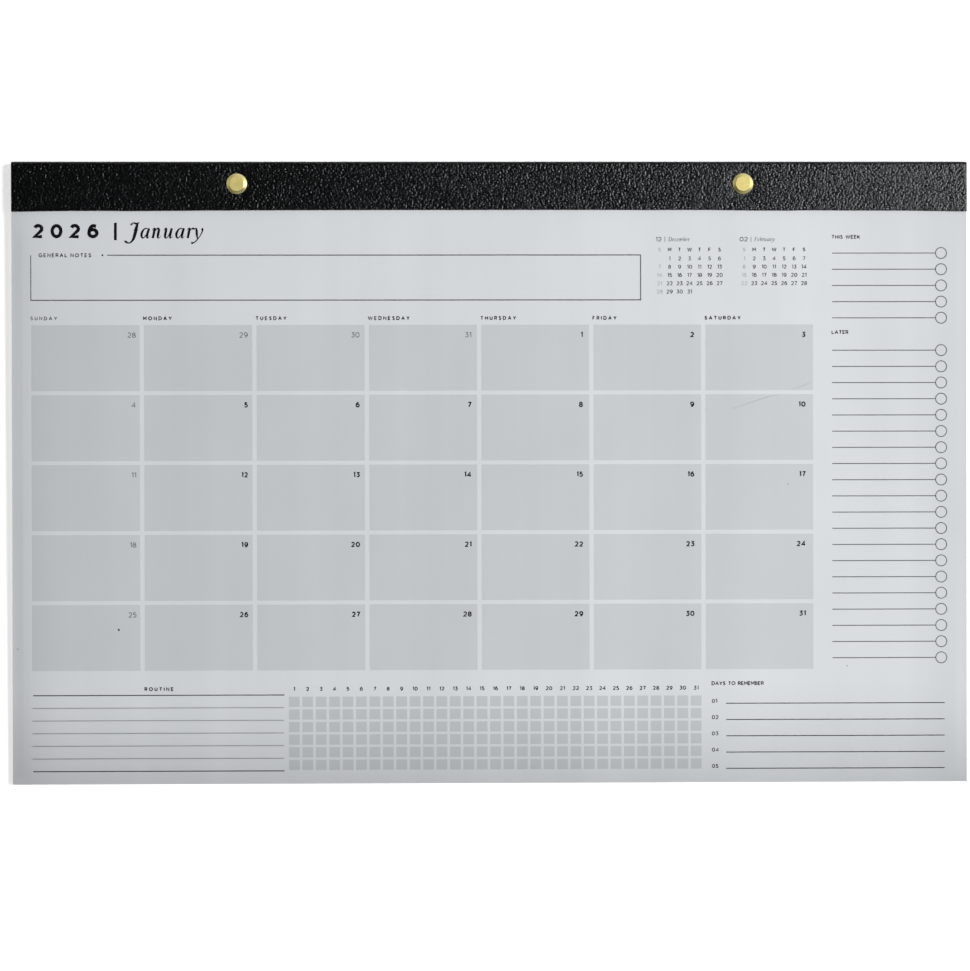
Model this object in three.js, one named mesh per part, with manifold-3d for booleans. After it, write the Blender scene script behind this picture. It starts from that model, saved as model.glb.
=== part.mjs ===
// Desk pad calendar: monthly sheets on a chipboard back, clamped under a folded leatherette header
// by two brass binding posts.
// Millimetres. +X runs along the width, +Y towards the header and +Z up off the desk.
// The origin is under the middle of the calendar, at the level of the post screws' undersides.
import * as THREE from "three";
import { mergeVertices } from "three/addons/utils/BufferGeometryUtils.js";
import Module from "manifold-3d";

const wasm = await Module();
wasm.setup();

// Sheets and board
const sheetWidth = 431.8; // 17 in
const sheetHeight = 279.4; // 11 in
const leafThickness = 0.16;
const leafPairs = 6; // twelve months, two leaves a pair
const leafSetback = 0.2; // the lower leaf of each pair stands back this far all round
const boardThickness = 1.2;
const boardSetback = 0.3; // the board is this much shorter than the sheets at each free edge
const seatGap = 0.02; // air between pieces that lie on each other

// Header
const coverThickness = 0.9;
const foldSlack = 0.9; // room in the fold past the sheets' top edge
const foldRadius = 1.6; // outside of the fold's two bends
const frontFlapReach = 22.7; // at its ends, from the outside of the fold
const backFlapReach = 22;
const frontFlapBow = 0.7; // the front flap is this much shorter in its middle
const flapEdgeRadius = 0.3; // of the flaps' outer edges
const coverSteps = 16; // stretches along the bowed edge
const bendSteps = 4; // in each bend of the fold

// Binding posts
const postSpacing = 228.6; // 9 in
const postInset = 10.3; // from the outside of the fold to the posts' axes
const headRadius = 4.8;
const headThickness = 1.2;
const headFlatRadius = 3.5; // the flat in the middle of a head
const headRim = 0.35; // upright edge of a head
const sleeveRadius = 2.5;
const sleeveTipGap = 0.5; // from the sleeve's end to the screw's head
const boreWall = 0.4;
const boreFloor = 0.5; // solid brass between the bore and the head's seat
const shankRadius = 1.8;
const shankTipGap = 0.6; // from the shank's end to the bore's floor
const shankChamfer = 0.3;
const slotWidth = 1.2;
const slotDepth = 0.6;
const holeClearance = 0.3; // round the sleeves, in every layer
const roundSides = 32;
const bevelSteps = 4;

// Print, which stands a little proud so that it shows in one colour
const printHeight = 0.1;
const ruleWidth = 0.4;

// Margins and the month's grid of days
const leftMargin = 9.4;
const rightMargin = 9;
const columnGap = 8.75; // between the days and the list beside them
const gridDrop = 51.2; // from the header's lower edge
const gridRise = 51.3; // from the foot of the page
const dayColumns = 7;
const weekRows = 5;
const dayGapX = 2.1;
const dayGapY = 1.81;

// Empty frame over the grid
const frameDrop = 19.7; // from the header's lower edge to its upper rule
const frameHeight = 20.3;
const frameRightMargin = 147.9;

// List with a ring at the end of each rule
const listWidth = 52.2;
const listDrop = 18.92; // from the header's lower edge to the first rule
const listPitch = 7.33;
const listGapAfter = 5; // the list pauses for a heading after this many rules
const listRise = 52; // kept free under the list
const ringRadius = 2.7;
const ringSides = 12;

// Tracker at the foot: ruled lines, then a row of squares for each
const trackerRise = 5.9; // from the foot of the page to the last rule
const trackerPitch = 5.7;
const trackerRows = 6;
const trackerRulesWidth = 113.2;
const trackerGap = 2; // between the rules and the squares
const trackerDays = 31;
const trackerEndColumn = 6; // the squares end level with this day column
const squareGapX = 1.21;
const squareHeight = 4.75;

// Numbered rules at the foot
const dateRise = 6.3;
const datePitch = 7.375;
const dateRules = 5;
const dateRulesLength = 99.2;
const dateRightMargin = 10.2;

// Heights off the desk, from the bottom up
const coverBottom = headThickness + seatGap;
const boardBottom = coverBottom + coverThickness + seatGap;
const padBottom = boardBottom + boardThickness + seatGap;
const padThickness = 2 * leafPairs * leafThickness;
const padTop = padBottom + padThickness;
const flapBottom = padTop + seatGap;
const coverTop = flapBottom + coverThickness;
const headSeat = coverTop + seatGap;

// Plan
const overallHeight = sheetHeight + foldSlack + coverThickness;
const foldFace = overallHeight / 2;
const pageTop = foldFace - frontFlapReach;
const foot = -overallHeight / 2;
const sheetTop = foot + sheetHeight;
const leftEdge = -sheetWidth / 2;
const rightEdge = sheetWidth / 2;
const postY = foldFace - postInset;
const postXs = { left: -postSpacing / 2, right: postSpacing / 2 };
const holeRadius = sleeveRadius + holeClearance;
const boreRadius = sleeveRadius - boreWall;
const sleeveLength = headSeat - headThickness - sleeveTipGap;
const overcut = 1; // cutters run this far past what they cut

// A geometry as a solid that can be joined and cut.
function solidOf(geometry) {
  const bare = geometry.clone();
  bare.deleteAttribute("normal");
  bare.deleteAttribute("uv");
  const merged = mergeVertices(bare, 1e-4);
  const mesh = new wasm.Mesh({
    numProp: 3,
    vertProperties: merged.attributes.position.array,
    triVerts: new Uint32Array(merged.index.array),
  });
  return new wasm.Manifold(mesh);
}

function geometryOf(solid) {
  const mesh = solid.getMesh();
  const geometry = new THREE.BufferGeometry();
  geometry.setAttribute("position", new THREE.BufferAttribute(mesh.vertProperties, 3));
  geometry.setIndex(new THREE.BufferAttribute(mesh.triVerts, 1));
  const faceted = geometry.toNonIndexed();
  faceted.computeVertexNormals();
  return faceted;
}

// A box between two corners.
function block(x0, y0, z0, x1, y1, z1) {
  const geometry = new THREE.BoxGeometry(x1 - x0, y1 - y0, z1 - z0);
  geometry.translate((x0 + x1) / 2, (y0 + y1) / 2, (z0 + z1) / 2);
  return geometry;
}

function turned(profile) {
  const points = profile.map(([radius, height]) => new THREE.Vector2(radius, height));
  const geometry = new THREE.LatheGeometry(points, roundSides);
  geometry.rotateX(Math.PI / 2);
  return geometry;
}

// Cuts the two post holes through a solid, over its whole height.
function punched(solid) {
  let result = solid;
  const cutHeight = coverTop + 2 * overcut;
  for (const x of Object.values(postXs)) {
    const cutter = new THREE.CylinderGeometry(holeRadius, holeRadius, cutHeight, roundSides);
    cutter.rotateX(Math.PI / 2);
    cutter.translate(x, postY, coverTop / 2);
    result = result.subtract(solidOf(cutter));
  }
  return result;
}

// Printed shapes reach half a leaf into the paper, so that they are one piece with it.
const printBottom = padTop - leafThickness / 2;
const printTop = padTop + printHeight;

function field(x0, y0, x1, y1) {
  return block(x0, y0, printBottom, x1, y1, printTop);
}

function rule(x0, x1, y) {
  return field(x0, y - ruleWidth / 2, x1, y + ruleWidth / 2);
}

// A closed outline with its own opening, printed as a line of the rules' width.
function outline(shape, opening) {
  shape.holes.push(opening);
  const options = {
    depth: printTop - printBottom,
    bevelEnabled: false,
    curveSegments: ringSides / 2, // an arc gets two sides for each
  };
  const geometry = new THREE.ExtrudeGeometry(shape, options);
  geometry.translate(0, 0, printBottom);
  return geometry;
}

function ring(x, y) {
  const shape = new THREE.Shape();
  shape.absarc(x, y, ringRadius, 0, 2 * Math.PI);
  const opening = new THREE.Path();
  opening.absarc(x, y, ringRadius - ruleWidth, 0, 2 * Math.PI);
  return outline(shape, opening);
}

function rectangle(x0, y0, x1, y1) {
  const corners = [[x0, y0], [x1, y0], [x1, y1], [x0, y1]];
  return new THREE.Shape(corners.map(([x, y]) => new THREE.Vector2(x, y)));
}

const gridRight = rightEdge - rightMargin - listWidth - columnGap;
const gridLeft = leftEdge + leftMargin;
const gridTop = pageTop - gridDrop;
const gridBottom = foot + gridRise;
const dayWidth = (gridRight - gridLeft - (dayColumns - 1) * dayGapX) / dayColumns;
const dayHeight = (gridTop - gridBottom - (weekRows - 1) * dayGapY) / weekRows;

function dayFields() {
  const fields = [];
  for (let row = 0; row < weekRows; row += 1) {
    const top = gridTop - row * (dayHeight + dayGapY);
    for (let column = 0; column < dayColumns; column += 1) {
      const left = gridLeft + column * (dayWidth + dayGapX);
      fields.push(field(left, top - dayHeight, left + dayWidth, top));
    }
  }
  return fields;
}

function frameRules() {
  const right = rightEdge - frameRightMargin;
  const top = pageTop - frameDrop;
  const bottom = top - frameHeight;
  const half = ruleWidth / 2;
  const outside = rectangle(gridLeft - half, bottom - half, right + half, top + half);
  const inside = rectangle(gridLeft + half, bottom + half, right - half, top - half);
  return outline(outside, inside);
}

function ringList() {
  const parts = [];
  const right = rightEdge - rightMargin;
  const first = pageTop - listDrop;
  const count = Math.floor((first - foot - listRise) / listPitch) + 1;
  for (let line = 0; line < count; line += 1) {
    const y = first - line * listPitch;
    if (line !== listGapAfter) {
      parts.push(rule(right - listWidth, right - 2 * ringRadius + ruleWidth / 2, y));
      parts.push(ring(right - ringRadius, y));
    }
  }
  return parts;
}

function tracker() {
  const parts = [];
  const rulesRight = gridLeft + trackerRulesWidth;
  const squaresLeft = rulesRight + trackerGap;
  const squaresRight = gridLeft + trackerEndColumn * (dayWidth + dayGapX) - dayGapX;
  const span = squaresRight - squaresLeft - (trackerDays - 1) * squareGapX;
  const squareWidth = span / trackerDays;
  const lastRule = foot + trackerRise;
  for (let line = 0; line <= trackerRows; line += 1) {
    parts.push(rule(gridLeft, rulesRight, lastRule + line * trackerPitch));
  }
  for (let row = 0; row < trackerRows; row += 1) {
    const bottom = lastRule + row * trackerPitch + (trackerPitch - squareHeight) / 2;
    for (let day = 0; day < trackerDays; day += 1) {
      const left = squaresLeft + day * (squareWidth + squareGapX);
      parts.push(field(left, bottom, left + squareWidth, bottom + squareHeight));
    }
  }
  return parts;
}

function dateList() {
  const parts = [];
  const right = rightEdge - dateRightMargin;
  for (let line = 0; line < dateRules; line += 1) {
    parts.push(rule(right - dateRulesLength, right, foot + dateRise + line * datePitch));
  }
  return parts;
}

// The sheets as one solid: a core as large as the leaves that stand back, and the full leaves round it.
function sheetPad() {
  const coreLeft = leftEdge + leafSetback;
  const coreFoot = foot + leafSetback;
  const coreHead = sheetTop - leafSetback;
  const layers = [block(coreLeft, coreFoot, padBottom, -coreLeft, coreHead, padTop)];
  for (let pair = 0; pair < leafPairs; pair += 1) {
    const top = padTop - 2 * pair * leafThickness;
    layers.push(block(leftEdge, foot, top - leafThickness, rightEdge, sheetTop, top));
  }
  const print = [...dayFields(), frameRules(), ...ringList(), ...tracker(), ...dateList()];
  return geometryOf(punched(wasm.Manifold.union([...layers, ...print].map(solidOf))));
}

function backingBoard() {
  const left = leftEdge + boardSetback;
  const bottom = foot + boardSetback;
  const boardTop = boardBottom + boardThickness;
  const slab = block(left, bottom, boardBottom, -left, sheetTop, boardTop);
  return geometryOf(punched(solidOf(slab)));
}

// Section across the header, as (y, z): round the inside of the fold, then back along its outside.
function coverSection() {
  const outer = Math.min(foldRadius, (coverTop - coverBottom) / 2);
  const inner = Math.max(outer - coverThickness, flapEdgeRadius);
  const innerTop = flapBottom;
  const innerBottom = coverBottom + coverThickness;
  const innerFace = foldFace - coverThickness;
  const frontEdge = foldFace - frontFlapReach;
  const backEdge = foldFace - backFlapReach;
  const quarter = Math.PI / 2;
  const edge = flapEdgeRadius;
  const section = new THREE.Shape();
  section.moveTo(frontEdge, innerTop);
  section.absarc(innerFace - inner, innerTop - inner, inner, quarter, 0, true);
  section.absarc(innerFace - inner, innerBottom + inner, inner, 0, -quarter, true);
  section.lineTo(backEdge, innerBottom);
  section.absarc(backEdge + edge, coverBottom + edge, edge, -2 * quarter, -quarter, false);
  section.absarc(foldFace - outer, coverBottom + outer, outer, -quarter, 0, false);
  section.absarc(foldFace - outer, coverTop - outer, outer, 0, quarter, false);
  section.absarc(frontEdge + edge, coverTop - edge, edge, quarter, 2 * quarter, false);
  return section;
}

// Moves the front flap's lower edge towards the fold, most in the middle of its length.
function bowFrontEdge(geometry) {
  const position = geometry.attributes.position;
  const moves = foldFace - frontFlapReach + 2 * flapEdgeRadius;
  for (let i = 0; i < position.count; i += 1) {
    const along = position.getX(i) / rightEdge;
    const y = position.getY(i);
    if (y < moves && position.getZ(i) > padTop) {
      position.setY(i, y + frontFlapBow * (1 - along * along));
    }
  }
}

function headerCover() {
  const options = {
    depth: sheetWidth,
    steps: coverSteps,
    bevelEnabled: false,
    curveSegments: bendSteps / 2, // an arc gets two sides for each
  };
  const geometry = new THREE.ExtrudeGeometry(coverSection(), options);
  const turn = new THREE.Matrix4().makeBasis(
    new THREE.Vector3(0, 1, 0),
    new THREE.Vector3(0, 0, 1),
    new THREE.Vector3(1, 0, 0),
  );
  geometry.applyMatrix4(turn);
  geometry.translate(leftEdge, 0, 0);
  bowFrontEdge(geometry);
  return geometryOf(punched(solidOf(geometry)));
}

// From a head's upright edge to its flat, as [radius, height over the seat].
function headBevel() {
  const points = [];
  for (let step = 0; step <= bevelSteps; step += 1) {
    const angle = (step / bevelSteps) * (Math.PI / 2);
    const radius = headFlatRadius + (headRadius - headFlatRadius) * Math.cos(angle);
    const height = headRim + (headThickness - headRim) * Math.sin(angle);
    points.push([radius, height]);
  }
  return points;
}

// Barrel, from its seat on the header: the head above and the bored sleeve below.
function postBarrel() {
  const profile = [
    [0, -boreFloor],
    [boreRadius, -boreFloor],
    [boreRadius, -sleeveLength],
    [sleeveRadius, -sleeveLength],
    [sleeveRadius, 0],
    [headRadius, 0],
    ...headBevel(),
    [0, headThickness],
  ];
  return turned(profile);
}

// Screw, from its seat under the header: the shank above and the slotted head below.
function postScrew() {
  const shankLength = headSeat - headThickness - boreFloor - shankTipGap;
  const bevel = headBevel().map(([radius, height]) => [radius, -height]);
  const profile = [
    [0, -headThickness],
    ...bevel.reverse(),
    [headRadius, 0],
    [shankRadius, 0],
    [shankRadius, shankLength - shankChamfer],
    [shankRadius - shankChamfer, shankLength],
    [0, shankLength],
  ];
  const reach = headRadius + overcut;
  const slotTop = slotDepth - headThickness;
  const slot = block(-reach, -slotWidth / 2, -headThickness - overcut, reach, slotWidth / 2, slotTop);
  return geometryOf(solidOf(turned(profile)).subtract(solidOf(slot)));
}

function finish(color, roughness, metalness) {
  return new THREE.MeshStandardMaterial({ color, roughness, metalness });
}

const calendar = new THREE.Group();

function addPiece(name, geometry, material) {
  const mesh = new THREE.Mesh(geometry, material);
  mesh.name = name;
  calendar.add(mesh);
  return mesh;
}

addPiece("backing_board", backingBoard(), finish(0x9c9184, 0.95, 0));
addPiece("sheet_pad", sheetPad(), finish(0xd2d6da, 0.85, 0));
addPiece("header_cover", headerCover(), finish(0x1c1d1e, 0.5, 0));
for (const [side, x] of Object.entries(postXs)) {
  const barrel = addPiece(`post_barrel_${side}`, postBarrel(), finish(0xd8cf8e, 0.25, 1));
  barrel.position.set(x, postY, headSeat);
  const screw = addPiece(`post_screw_${side}`, postScrew(), finish(0xcfc27c, 0.3, 1));
  screw.position.set(x, postY, headThickness);
}

export default calendar;
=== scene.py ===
import math

import bpy
import numpy as np
from mathutils import Matrix, Vector, geometry


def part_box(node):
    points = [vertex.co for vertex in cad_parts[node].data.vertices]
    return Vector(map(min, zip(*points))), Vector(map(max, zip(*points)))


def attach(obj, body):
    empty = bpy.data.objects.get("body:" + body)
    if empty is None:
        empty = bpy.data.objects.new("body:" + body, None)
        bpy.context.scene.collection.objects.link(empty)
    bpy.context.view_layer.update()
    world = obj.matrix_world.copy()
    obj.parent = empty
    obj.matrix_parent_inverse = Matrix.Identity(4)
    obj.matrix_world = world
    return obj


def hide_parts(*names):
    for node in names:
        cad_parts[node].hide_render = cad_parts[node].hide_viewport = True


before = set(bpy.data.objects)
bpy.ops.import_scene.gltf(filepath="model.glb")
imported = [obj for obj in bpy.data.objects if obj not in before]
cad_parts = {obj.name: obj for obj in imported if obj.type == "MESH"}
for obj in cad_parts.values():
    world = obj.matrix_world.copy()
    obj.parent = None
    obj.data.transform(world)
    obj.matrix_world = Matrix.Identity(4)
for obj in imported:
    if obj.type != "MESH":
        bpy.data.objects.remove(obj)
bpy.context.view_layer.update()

# Desk pad calendar. Metres, in the CAD's frame: +X to the right, +Y towards the header, +Z up.
MM = 0.001
BODY = "root"

PAD_LOW, PAD_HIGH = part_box("sheet_pad")
COVER_LOW, COVER_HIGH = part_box("header_cover")
BOARD_LOW, BOARD_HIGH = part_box("backing_board")
BARREL_LOW, BARREL_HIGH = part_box("post_barrel_left")
SCREW_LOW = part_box("post_screw_left")[0]

LEAVES = 12
LEAF = 0.16 * MM
PRINT_RELIEF = 0.1 * MM  # how far the CAD's print stands over its top sheet
LEFT, RIGHT = PAD_LOW.x, PAD_HIGH.x
FOOT, SHEET_HEAD = PAD_LOW.y, PAD_HIGH.y
HEAD = COVER_HIGH.y
SHEET_TOP = PAD_HIGH.z - PRINT_RELIEF
POST_X = (BARREL_LOW.x + BARREL_HIGH.x) / 2
POST_Y = (BARREL_LOW.y + BARREL_HIGH.y) / 2
HEADER_REACH = 22.7 * MM  # of the front flap, at its ends

rng = np.random.default_rng(2026)


def page(x, y):
    """A place in millimetres from the page's upper left corner, in the frame's metres."""
    return np.stack([LEFT + np.asarray(x) * MM, HEAD - np.asarray(y) * MM], -1)


def from_posts(x, y):
    """Distance from the nearer post's axis."""
    return np.minimum(np.hypot(x - POST_X, y - POST_Y), np.hypot(x + POST_X, y - POST_Y))


# Meshes

def new_object(name, vertices, faces, material, smooth=False):
    mesh = bpy.data.meshes.new(name)
    mesh.from_pydata([tuple(v) for v in vertices], [], [tuple(f) for f in faces])
    mesh.validate()
    if smooth:
        mesh.polygons.foreach_set("use_smooth", [True] * len(mesh.polygons))
    mesh.materials.append(material)
    obj = bpy.data.objects.new(name, mesh)
    bpy.context.scene.collection.objects.link(obj)
    return obj


def rim_of(faces):
    """The edges that only one face uses, each in that face's direction."""
    edges = {}
    for face in faces:
        for a, b in zip(face, face[1:] + face[:1]):
            edges[(a, b)] = True
    return [edge for edge in edges if (edge[1], edge[0]) not in edges]


class Prisms:
    """Closed thin solids over flat outlines, gathered into one mesh."""

    def __init__(self):
        self.vertices = []
        self.faces = []

    def add(self, points, faces, top, bottom):
        """points are (n, 2); top and bottom give each point's heights."""
        start = sum(len(v) for v in self.vertices)
        points = np.asarray(points, float)
        count = len(points)
        upper = np.column_stack([points, top(points[:, 0], points[:, 1])])
        lower = np.column_stack([points, bottom(points[:, 0], points[:, 1])])
        self.vertices += [upper, lower]
        for face in faces:
            self.faces.append([start + i for i in face])
            self.faces.append([start + count + i for i in reversed(face)])
        for a, b in rim_of([list(f) for f in faces]):
            self.faces.append([start + b, start + a, start + count + a, start + count + b])

    def object(self, name, material):
        return new_object(name, np.concatenate(self.vertices), self.faces, material)


def steps_between(a, b, pitch):
    """Even places from a to b, no further apart than pitch."""
    return np.linspace(a, b, max(1, math.ceil(abs(b - a) / pitch)) + 1)


def grid(xs, ys):
    """Points and upward quads of a grid."""
    points = [(x, y) for y in ys for x in xs]
    wide = len(xs)
    faces = []
    for row in range(len(ys) - 1):
        for column in range(wide - 1):
            a = row * wide + column
            faces.append([a, a + 1, a + 1 + wide, a + wide])
    return np.array(points), faces


# The sheets' surface: slow waves from the printing and a little air between the leaves

EDGE_ROLL = 7 * MM  # width of the stretch in which the stack closes towards its edges
HEADER_HOLD = 18 * MM  # width of the stretch that the header holds down
AIR = 0.32 * MM
WAVES = (
    # rise, length along x, length along y, phase
    (0.10 * MM, 0.118, 0.9, 0.4),
    (0.06 * MM, 0.061, -0.7, 2.1),
    (0.05 * MM, 0.31, 0.17, 1.2),
)


def soft_step(t):
    t = np.clip(t, 0, 1)
    return t * t * (3 - 2 * t)


def sheet_lift(x, y):
    """How far the top sheet stands over a flat, tight stack."""
    side = np.minimum(x - LEFT, RIGHT - x)
    free = soft_step(side / EDGE_ROLL) * soft_step((y - FOOT) / EDGE_ROLL)
    held = soft_step((HEAD - HEADER_REACH - y) / HEADER_HOLD)
    lift = AIR
    for rise, along_x, along_y, phase in WAVES:
        lift = lift + rise * np.sin(2 * math.pi * (x / along_x + y / along_y) + phase)
    return lift * free * held


def sheet_top(x, y):
    return SHEET_TOP + sheet_lift(x, y)


INK = 0.018 * MM  # one coat
INK_DEPTH = 0.03 * MM
INK_PITCH = 4 * MM


def ink_bottom(x, y):
    return sheet_top(x, y) - INK_DEPTH


def circle(x, y, radius, sides):
    turns = np.arange(sides) * 2 * math.pi / sides
    return [(x + radius * math.cos(t), y + radius * math.sin(t)) for t in turns]


# A leaf is cut to its outline and punched for the posts

LEAF_PITCH = 4 * MM
COARSE_PITCH = 6 * LEAF_PITCH  # of the leaves under the first and of the board
FINE_STEPS = (0.8 * MM, 1.8 * MM, 3 * MM, 5 * MM)  # from a free edge
PUNCH_RADIUS = 2.8 * MM
PUNCH_SIDES = 24
PUNCH_CLEAR = 0.6 * MM  # between a hole and the next point
PUNCH_INSIDE = 0.98 * PUNCH_RADIUS  # a triangle with its middle nearer than this lies in a hole
SAME_POINT = 1e-7
PAPER_SHARE = 0.9  # of a leaf's height
JOG = (0.02, 0.3)  # least and most that a lower leaf's edges stand back, in millimetres


def leaf_plan(left, right, low, high, pitch):
    """Points and triangles of a sheet with two punched holes, finer near its free edges."""
    xs = steps_between(left, right, pitch)
    ys = steps_between(low, high, pitch)
    near_left = [left + step for step in FINE_STEPS]
    near_right = [right - step for step in FINE_STEPS]
    xs = np.unique(np.concatenate([xs, near_left, near_right]))
    ys = np.unique(np.concatenate([ys, [low + step for step in FINE_STEPS]]))
    outline = [(x, low) for x in xs] + [(right, y) for y in ys[1:]]
    outline += [(x, high) for x in xs[-2::-1]] + [(left, y) for y in ys[-2:0:-1]]
    holes = [circle(x, POST_Y, PUNCH_RADIUS, PUNCH_SIDES) for x in (POST_X, -POST_X)]
    inner = []
    for x in xs[1:-1]:
        for y in ys[1:-1]:
            if from_posts(x, y) > PUNCH_RADIUS + PUNCH_CLEAR:
                inner.append((x, y))
    points = outline + holes[0] + holes[1] + inner
    loops = []
    start = 0
    for loop in (outline, *holes):
        loops.append(list(range(start, start + len(loop))))
        start += len(loop)
    edges = [(loop[i], loop[(i + 1) % len(loop)]) for loop in loops for i in range(len(loop))]
    vectors = [Vector(p) for p in points]
    flat, _, faces, _, _, _ = geometry.delaunay_2d_cdt(vectors, edges, [], 0, SAME_POINT)
    kept = []
    for face in faces:
        middle = sum((flat[i] for i in face), Vector((0, 0))) / len(face)
        if from_posts(middle.x, middle.y) > PUNCH_INSIDE:
            a, b, c = (flat[i] for i in face)
            area = (b - a).cross(c - a)
            kept.append(list(face) if area > 0 else list(reversed(face)))
    return np.array([tuple(v) for v in flat]), kept


def make_leaves(material):
    """The twelve sheets, each a little out of line with the next."""
    leaves = Prisms()
    for leaf in range(LEAVES):
        share = 1 - leaf / LEAVES
        level = leaf * LEAF

        def top(x, y, share=share, level=level):
            return SHEET_TOP - level + sheet_lift(x, y) * share

        def bottom(x, y, top=top):
            return top(x, y) - PAPER_SHARE * LEAF

        inset = rng.uniform(*JOG, 3) * MM
        pitch = COARSE_PITCH
        if leaf == 0:
            inset = np.zeros(3)
            pitch = LEAF_PITCH
        points, faces = leaf_plan(LEFT + inset[0], RIGHT - inset[1], FOOT + inset[2], SHEET_HEAD, pitch)
        leaves.add(points, faces, top, bottom)
    return leaves.object("calendar_sheets", material)


# Print

MITRE = 1.9  # most that a stroke's corner reaches out, in half widths
TURN_BACK = 0.02  # least sum of two unit sides, where a stroke turns back on itself
RING_SIDES = 40


class Ink:
    """Printed shapes of one colour, in page millimetres, as one mesh that follows the top sheet."""

    def __init__(self, coats=1):
        self.prisms = Prisms()
        self.coats = coats

    def top(self, x, y):
        return sheet_top(x, y) + self.coats * INK

    def shape(self, points, faces):
        """points in page millimetres, y down; faces run clockwise on the page as read."""
        places = page(points[:, 0], points[:, 1])
        self.prisms.add(places, faces, self.top, ink_bottom)

    def box(self, x0, y0, x1, y1):
        pitch = INK_PITCH / MM
        points, faces = grid(steps_between(x0, x1, pitch), steps_between(y0, y1, pitch))
        self.shape(points, [list(reversed(f)) for f in faces])

    def across(self, x0, x1, y, width):
        self.box(x0, y - width / 2, x1, y + width / 2)

    def down(self, x, y0, y1, width):
        self.box(x - width / 2, y0, x + width / 2, y1)

    def ribbon(self, path, width=None):
        """A pen stroke through (x, y) or (x, y, width) places, closed where it ends at its start."""
        path = np.array(path, float)
        closed = np.allclose(path[0, :2], path[-1, :2])
        if closed:
            path = path[:-1]
        line = path[:, :2]
        count = len(line)
        steps = np.roll(line, -1, 0) - line
        if not closed:
            steps[-1] = steps[-2]
        steps /= np.linalg.norm(steps, axis=1)[:, None]
        after = np.stack([steps[:, 1], -steps[:, 0]], -1)
        before = np.roll(after, 1, 0)
        if not closed:
            before[0] = after[0]
        middle = before + after
        spread = np.maximum(np.linalg.norm(middle, axis=1), TURN_BACK)[:, None]
        reach = np.minimum(2 / spread, MITRE)
        half = (path[:, 2:3] if width is None else width) / 2
        side = middle / spread * reach * half
        both = np.concatenate([line + side, line - side])
        faces = []
        for i in range(count if closed else count - 1):
            j = (i + 1) % count
            faces.append([i, j, j + count, i + count])
        self.shape(both, faces)

    def dot(self, x, y, radius, sides=10):
        points = np.array(circle(x, y, radius, sides))
        self.shape(points, [list(reversed(range(sides)))])

    def ring(self, x, y, radius, width):
        middle = radius - width / 2
        points = circle(x, y, middle, RING_SIDES)
        self.ribbon([*points, points[0]], width)

    def object(self, name, material):
        return self.prisms.object(name, material)


def smooth_path(points, steps=6):
    """Catmull-Rom curve through the given places, all columns alike."""
    p = np.array(points, float)
    p = np.concatenate([[2 * p[0] - p[1]], p, [2 * p[-1] - p[-2]]])
    result = []
    for i in range(1, len(p) - 2):
        for t in np.arange(steps) / steps:
            a = 2 * p[i]
            b = p[i + 1] - p[i - 1]
            c = 2 * p[i - 1] - 5 * p[i] + 4 * p[i + 1] - p[i + 2]
            d = -p[i - 1] + 3 * p[i] - 3 * p[i + 1] + p[i + 2]
            result.append(tuple((a + b * t + c * t * t + d * t ** 3) / 2))
    result.append(tuple(p[-2]))
    return result


def bowl(cx, cy, rx, ry, start=0, end=360, steps=18):
    """Part of an ellipse, from one angle to another in degrees, y upwards."""
    angles = np.radians(np.linspace(start, end, steps + 1))
    return [(cx + rx * math.cos(a), cy + ry * math.sin(a)) for a in angles]


# Plain round capitals and figures, as the middle lines of their strokes, one unit high

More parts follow.
